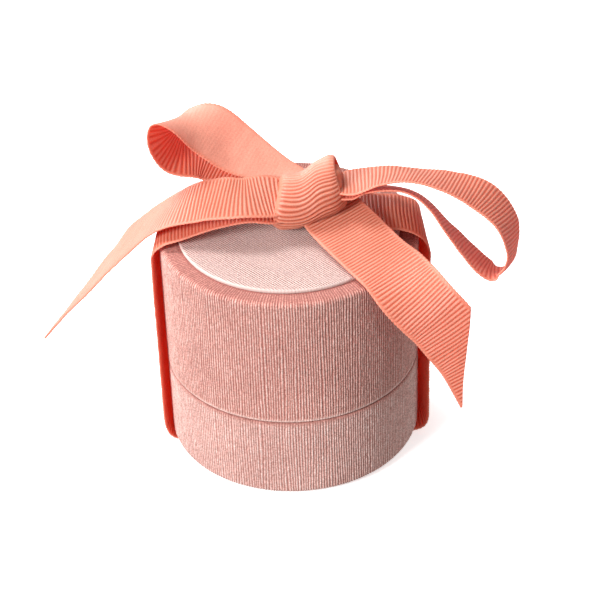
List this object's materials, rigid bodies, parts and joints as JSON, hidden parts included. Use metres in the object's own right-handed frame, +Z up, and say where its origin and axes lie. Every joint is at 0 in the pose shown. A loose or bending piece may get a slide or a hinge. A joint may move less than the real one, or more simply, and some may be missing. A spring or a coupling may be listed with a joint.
{
  "type": "jewelry gift box",
  "caption": "Round velvet-covered ring box with a lift-off lid over a lined collar, a slotted ring cushion, and a grosgrain ribbon tied over it in a two-loop bow with slanted ends.",
  "frame": {"origin": "on the box's axis, on the surface that the box stands on", "axes": "+Z up along the box's axis; +X to the right, along the bow; -Y towards the viewer"},
  "size_m": [0.1144, 0.0649, 0.0789],
  "materials": {
    "board": "plain greyboard",
    "ribbed_velvet": "pink velvet with fine upright wales",
    "top_velvet": "pale pink velvet with a fine crossed weave",
    "lining_velvet": "short-pile lining velvet",
    "foot_cloth": "flat velvet paper",
    "foam": "open foam and wadding",
    "ribbon": "coral grosgrain, ribbed across its width"
  },
  "bodies": {
    "base": {"base_wall": "board", "base_floor": "board", "base_velvet": "ribbed_velvet", "base_foot_disc": "foot_cloth", "collar_tube": "board", "collar_velvet": "lining_velvet", "insert_foam": "foam", "insert_board": "board", "cushion_front": "lining_velvet", "cushion_back": "lining_velvet", "ribbon_under_strap": "ribbon", "ribbon_side_left": "ribbon", "ribbon_side_right": "ribbon"},
    "lid": {"lid_wall": "board", "lid_top_board": "board", "lid_velvet": "ribbed_velvet", "lid_top_pad": "foam", "lid_top_velvet": "top_velvet", "lid_lining_wall": "lining_velvet", "lid_lining_pad": "lining_velvet", "ribbon_top_left": "ribbon", "ribbon_top_right": "ribbon", "bow_knot": "ribbon", "bow_loop_left": "ribbon", "bow_loop_right": "ribbon", "bow_tail_left": "ribbon", "bow_tail_right": "ribbon"}
  },
  "joints": [
    {"name": "lid_lift", "type": "slide", "parent": "base", "child": "lid", "axis": [0, 0, 1], "range_m": [0, 0.02], "deforming": ["ribbon_side_left", "ribbon_side_right"]}
  ]
}
